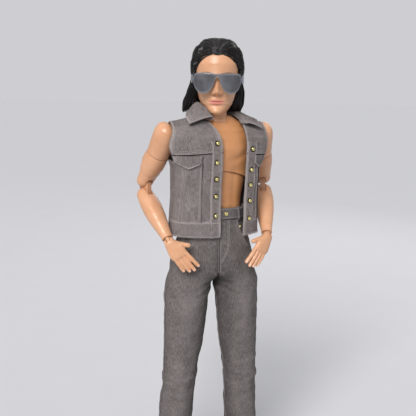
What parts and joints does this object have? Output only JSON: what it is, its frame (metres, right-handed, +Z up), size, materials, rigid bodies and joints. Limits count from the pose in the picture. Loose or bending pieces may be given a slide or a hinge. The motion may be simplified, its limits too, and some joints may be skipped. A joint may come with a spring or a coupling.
{
  "type": "fashion doll",
  "caption": "Jointed male fashion doll standing with hands at its front pockets, in an open sleeveless denim vest, jeans, plain boots and removable sunglasses, with long dark hair.",
  "frame": {"origin": "centre of the bounding box's underside: the floor point between the two feet", "axes": "+Z up along the doll's height, -Y the way its chest faces, +X towards its own left hand"},
  "size_m": [0.0926, 0.0487, 0.3047],
  "materials": {
    "tan_hard_plastic": "smooth hard vinyl with a soft gloss",
    "dark_link_plastic": "plain moulded",
    "black_hair": "rooted fibre hair combed back, slight sheen",
    "washed_grey_denim": "washed grey twill with pale edges",
    "brass_studs": "polished small caps",
    "black_boot_plastic": "satin moulded",
    "smoked_clear_plastic": "smoked translucent plastic"
  },
  "bodies": {
    "pelvis": {"torso_lower_front": "tan_hard_plastic", "torso_lower_back": "tan_hard_plastic", "jeans_hips": "washed_grey_denim", "jeans_waistband": "washed_grey_denim", "jeans_button": "brass_studs", "pocket_rivet_left": "brass_studs", "pocket_rivet_right": "brass_studs"},
    "torso_link": {"torso_link": "dark_link_plastic"},
    "chest": {"torso_upper_front": "tan_hard_plastic", "torso_upper_back": "tan_hard_plastic", "neck": "tan_hard_plastic", "vest_back": "washed_grey_denim", "vest_front_left": "washed_grey_denim", "vest_front_right": "washed_grey_denim", "vest_collar": "washed_grey_denim", "snap_row_left": "brass_studs", "snap_row_right": "brass_studs"},
    "neck_knob": {"neck_knob": "tan_hard_plastic"},
    "head": {"head": "tan_hard_plastic", "hair_cap": "black_hair", "hair_side_left": "black_hair", "hair_side_right": "black_hair", "hair_back": "black_hair"},
    "sunglasses": {"sunglasses": "smoked_clear_plastic"},
    "pocket_flap_left": {"pocket_flap_left": "washed_grey_denim"},
    "pocket_flap_right": {"pocket_flap_right": "washed_grey_denim"},
    "shoulder_knob_left": {"shoulder_knob_left": "tan_hard_plastic"},
    "shoulder_left": {"shoulder_left": "tan_hard_plastic"},
    "upper_arm_left": {"upper_arm_left": "tan_hard_plastic"},
    "elbow_link_left": {"elbow_link_left": "tan_hard_plastic"},
    "forearm_left": {"forearm_left": "tan_hard_plastic"},
    "wrist_peg_left": {"wrist_peg_left": "tan_hard_plastic"},
    "hand_left": {"hand_left": "tan_hard_plastic"},
    "shoulder_knob_right": {"shoulder_knob_right": "tan_hard_plastic"},
    "shoulder_right": {"shoulder_right": "tan_hard_plastic"},
    "upper_arm_right": {"upper_arm_right": "tan_hard_plastic"},
    "elbow_link_right": {"elbow_link_right": "tan_hard_plastic"},
    "forearm_right": {"forearm_right": "tan_hard_plastic"},
    "wrist_peg_right": {"wrist_peg_right": "tan_hard_plastic"},
    "hand_right": {"hand_right": "tan_hard_plastic"},
    "hip_knob_left": {"hip_knob_left": "tan_hard_plastic"},
    "thigh_left": {"thigh_left": "tan_hard_plastic", "jeans_thigh_left": "washed_grey_denim"},
    "knee_link_left": {"knee_link_left": "tan_hard_plastic"},
    "shin_left": {"shin_left": "tan_hard_plastic", "jeans_shin_left": "washed_grey_denim"},
    "foot_left": {"foot_left": "tan_hard_plastic", "boot_left": "black_boot_plastic"},
    "hip_knob_right": {"hip_knob_right": "tan_hard_plastic"},
    "thigh_right": {"thigh_right": "tan_hard_plastic", "jeans_thigh_right": "washed_grey_denim"},
    "knee_link_right": {"knee_link_right": "tan_hard_plastic"},
    "shin_right": {"shin_right": "tan_hard_plastic", "jeans_shin_right": "washed_grey_denim"},
    "foot_right": {"foot_right": "tan_hard_plastic", "boot_right": "black_boot_plastic"}
  },
  "joints": [
    {"name": "torso_tilt", "type": "hinge", "parent": "pelvis", "child": "torso_link", "pos_m": [0, 0, 0.19419], "axis": [1, 0, 0], "range_deg": [-8, 10], "deforming": ["vest_back", "vest_front_left", "vest_front_right"]},
    {"name": "torso_turn", "type": "hinge", "parent": "torso_link", "child": "chest", "pos_m": [0, 0, 0.19419], "axis": [0, 0, 1], "range_deg": [-25, 25], "deforming": ["snap_row_left", "snap_row_right"]},
    {"name": "head_nod", "type": "hinge", "parent": "chest", "child": "neck_knob", "pos_m": [0, 0.001, 0.26589], "axis": [1, 0, 0], "range_deg": [-12, 12], "deforming": ["vest_collar"]},
    {"name": "head_turn", "type": "hinge", "parent": "neck_knob", "child": "head", "pos_m": [0, 0.001, 0.26589], "axis": [0, 0, 1], "range_deg": [-45, 85], "deforming": ["hair_back", "hair_side_left", "hair_side_right"]},
    {"name": "sunglasses_slide", "type": "slide", "parent": "head", "child": "sunglasses", "axis": [-0.3256, -0.9455, 0], "range_m": [0, 0.012]},
    {"name": "pocket_flap_left", "type": "hinge", "parent": "chest", "child": "pocket_flap_left", "pos_m": [0.02317, -0.01446, 0.23639], "axis": [-0.957, -0.2902, 0], "range_deg": [0, 80]},
    {"name": "pocket_flap_right", "type": "hinge", "parent": "chest", "child": "pocket_flap_right", "pos_m": [-0.01819, -0.01489, 0.23639], "axis": [-0.9883, 0.1524, 0], "range_deg": [0, 80]},
    {"name": "shoulder_swing_left", "type": "hinge", "parent": "chest", "child": "shoulder_knob_left", "pos_m": [0.0305, 0.002, 0.24939], "axis": [-1, 0, 0], "range_deg": [0, 150]},
    {"name": "shoulder_lift_left", "type": "hinge", "parent": "shoulder_knob_left", "child": "shoulder_left", "pos_m": [0.0305, 0.002, 0.24939], "axis": [0, -1, 0], "range_deg": [0, 80]},
    {"name": "bicep_turn_left", "type": "hinge", "parent": "shoulder_left", "child": "upper_arm_left", "pos_m": [0.0305, 0.002, 0.24939], "axis": [0.2768, 0.4331, -0.8578], "range_deg": [-150, 5]},
    {"name": "elbow_upper_left", "type": "hinge", "parent": "upper_arm_left", "child": "elbow_link_left", "pos_m": [0.0408, 0.01811, 0.21748], "axis": [-0.9216, 0.3724, -0.1094], "range_deg": [-38, 27]},
    {"name": "elbow_lower_left", "type": "hinge", "parent": "elbow_link_left", "child": "forearm_left", "pos_m": [0.04114, 0.01615, 0.20789], "axis": [-0.9216, 0.3724, -0.1094], "range_deg": [-38, 27]},
    {"name": "wrist_turn_left", "type": "hinge", "parent": "forearm_left", "child": "wrist_peg_left", "pos_m": [0.0325, -0.0125, 0.18319], "axis": [-0.2228, -0.7384, -0.6365], "range_deg": [-90, 90]},
    {"name": "wrist_bend_left", "type": "hinge", "parent": "wrist_peg_left", "child": "hand_left", "pos_m": [0.0325, -0.0125, 0.18319], "axis": [-0.8346, -0.193, 0.516], "range_deg": [-20, 60]},
    {"name": "shoulder_swing_right", "type": "hinge", "parent": "chest", "child": "shoulder_knob_right", "pos_m": [-0.0305, 0.002, 0.24939], "axis": [-1, 0, 0], "range_deg": [0, 150]},
    {"name": "shoulder_lift_right", "type": "hinge", "parent": "shoulder_knob_right", "child": "shoulder_right", "pos_m": [-0.0305, 0.002, 0.24939], "axis": [0, 1, 0], "range_deg": [0, 80]},
    {"name": "bicep_turn_right", "type": "hinge", "parent": "shoulder_right", "child": "upper_arm_right", "pos_m": [-0.0305, 0.002, 0.24939], "axis": [0.2768, -0.4331, 0.8578], "range_deg": [-150, 5]},
    {"name": "elbow_upper_right", "type": "hinge", "parent": "upper_arm_right", "child": "elbow_link_right", "pos_m": [-0.0408, 0.01811, 0.21748], "axis": [-0.9216, -0.3724, 0.1094], "range_deg": [-38, 27]},
    {"name": "elbow_lower_right", "type": "hinge", "parent": "elbow_link_right", "child": "forearm_right", "pos_m": [-0.04114, 0.01615, 0.20789], "axis": [-0.9216, -0.3724, 0.1094], "range_deg": [-38, 27]},
    {"name": "wrist_turn_right", "type": "hinge", "parent": "forearm_right", "child": "wrist_peg_right", "pos_m": [-0.0325, -0.0125, 0.18319], "axis": [-0.2228, 0.7384, 0.6365], "range_deg": [-90, 90]},
    {"name": "wrist_bend_right", "type": "hinge", "parent": "wrist_peg_right", "child": "hand_right", "pos_m": [-0.0325, -0.0125, 0.18319], "axis": [-0.8346, 0.193, -0.516], "range_deg": [-20, 60]},
    {"name": "hip_swing_left", "type": "hinge", "parent": "pelvis", "child": "hip_knob_left", "pos_m": [0.0165, 0, 0.16519], "axis": [-1, 0, 0], "range_deg": [-15, 50], "deforming": ["jeans_hips", "jeans_waistband"]},
    {"name": "hip_splay_left", "type": "hinge", "parent": "hip_knob_left", "child": "thigh_left", "pos_m": [0.0165, 0, 0.16519], "axis": [0, -1, 0], "range_deg": [0, 35], "deforming": ["jeans_thigh_left"]},
    {"name": "knee_upper_left", "type": "hinge", "parent": "thigh_left", "child": "knee_link_left", "pos_m": [0.02107, 0, 0.09454], "axis": [0.9979, 0, 0.0645], "range_deg": [0, 55]},
    {"name": "knee_lower_left", "type": "hinge", "parent": "knee_link_left", "child": "shin_left", "pos_m": [0.02199, 0, 0.08037], "axis": [0.9979, 0, 0.0645], "range_deg": [0, 55], "deforming": ["jeans_shin_left"]},
    {"name": "ankle_left", "type": "hinge", "parent": "shin_left", "child": "foot_left", "pos_m": [0.02599, 0, 0.0185], "axis": [1, 0, 0], "range_deg": [-20, 20]},
    {"name": "hip_swing_right", "type": "hinge", "parent": "pelvis", "child": "hip_knob_right", "pos_m": [-0.0165, 0, 0.16519], "axis": [-1, 0, 0], "range_deg": [-15, 50]},
    {"name": "hip_splay_right", "type": "hinge", "parent": "hip_knob_right", "child": "thigh_right", "pos_m": [-0.0165, 0, 0.16519], "axis": [0, 1, 0], "range_deg": [0, 35], "deforming": ["jeans_thigh_right"]},
    {"name": "knee_upper_right", "type": "hinge", "parent": "thigh_right", "child": "knee_link_right", "pos_m": [-0.02107, 0, 0.09454], "axis": [0.9979, 0, -0.0645], "range_deg": [0, 55]},
    {"name": "knee_lower_right", "type": "hinge", "parent": "knee_link_right", "child": "shin_right", "pos_m": [-0.02199, 0, 0.08037], "axis": [0.9979, 0, -0.0645], "range_deg": [0, 55], "deforming": ["jeans_shin_right"]},
    {"name": "ankle_right", "type": "hinge", "parent": "shin_right", "child": "foot_right", "pos_m": [-0.02599, 0, 0.0185], "axis": [1, 0, 0], "range_deg": [-20, 20]}
  ]
}
